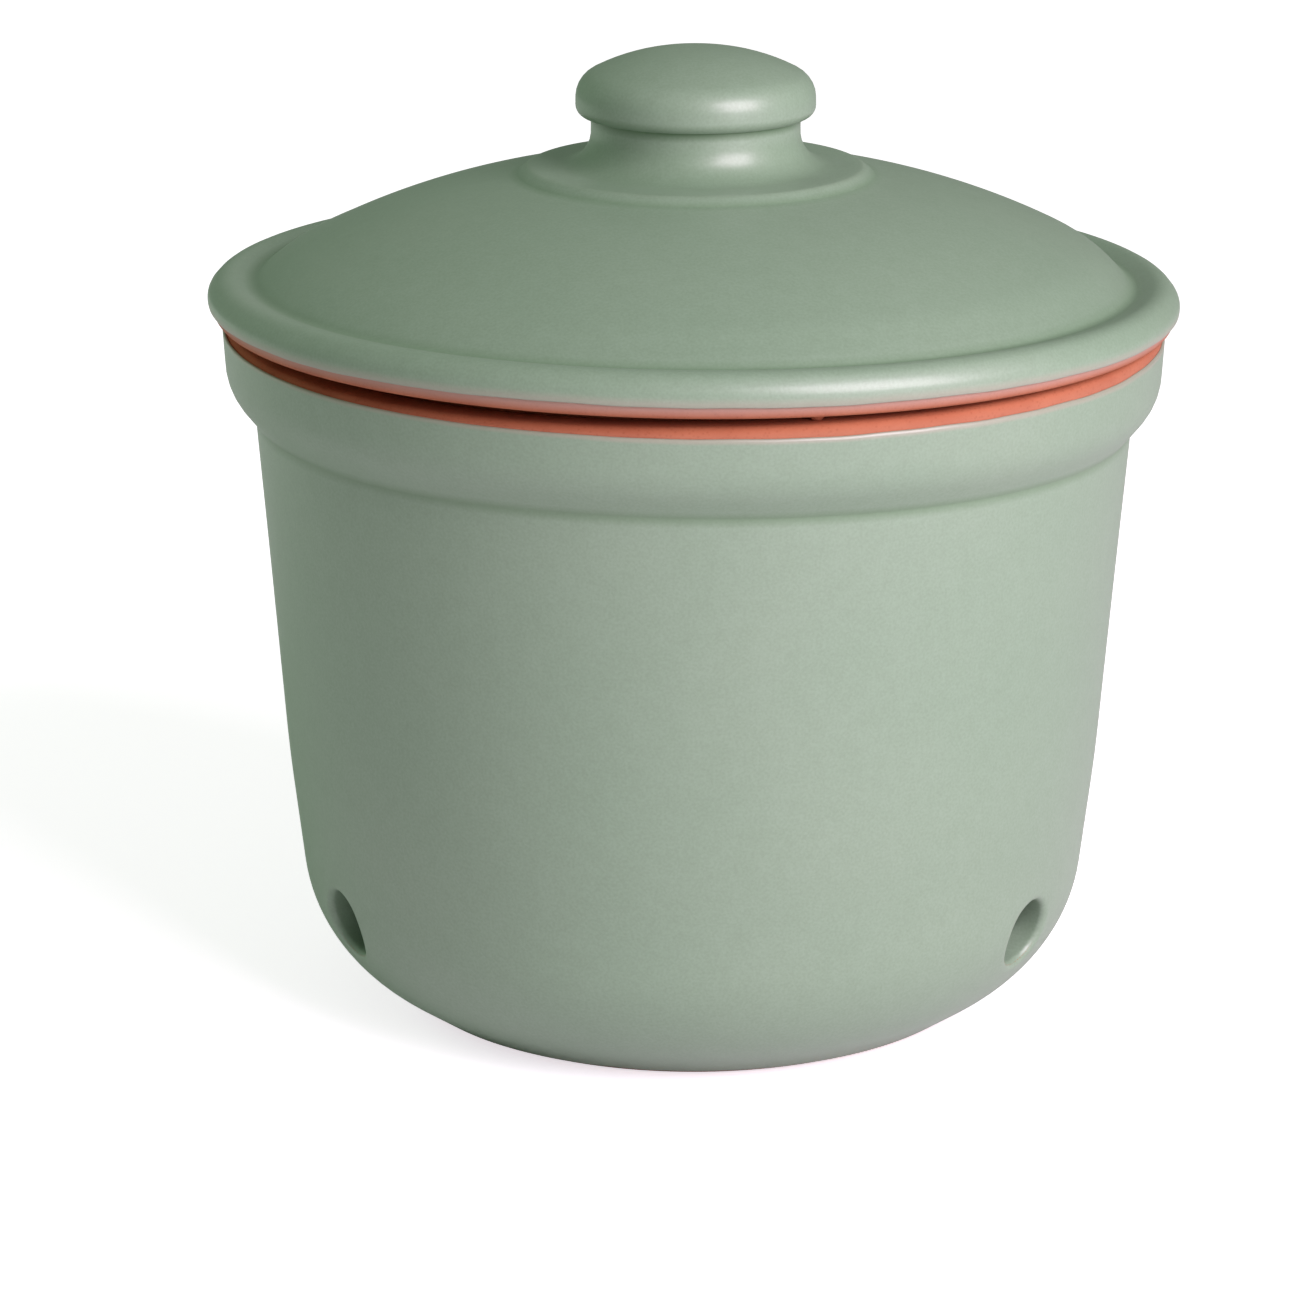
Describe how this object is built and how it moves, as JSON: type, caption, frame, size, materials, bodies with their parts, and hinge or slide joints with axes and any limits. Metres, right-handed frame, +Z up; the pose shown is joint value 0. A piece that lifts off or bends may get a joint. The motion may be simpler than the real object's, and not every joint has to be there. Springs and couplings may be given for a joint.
{
  "type": "stoneware onion crock",
  "caption": "Round stoneware crock for keeping onions, sage-green glaze outside and bare clay inside, with air holes low in the wall and a knobbed lift-off lid",
  "frame": {"origin": "On the table at the middle of the pot's flat underside", "axes": "+Z up along the turning axis of pot and lid; one of the three air holes faces +Y, so -Y is the side between the other two"},
  "size_m": [0.2336, 0.2336, 0.235],
  "materials": {
    "fired_clay": "bare fired clay, terracotta red, matt and slightly gritty",
    "sage_glaze": "satin-matt sage green glaze"
  },
  "bodies": {
    "pot": {"pot_body": "fired_clay", "pot_glaze": "sage_glaze"},
    "lid": {"lid_body": "fired_clay", "lid_knob": "fired_clay", "lid_glaze": "sage_glaze"}
  },
  "joints": [
    {"name": "lid_lift", "type": "slide", "parent": "pot", "child": "lid", "axis": [0, 0, 1], "range_m": [0, 0.12]}
  ]
}
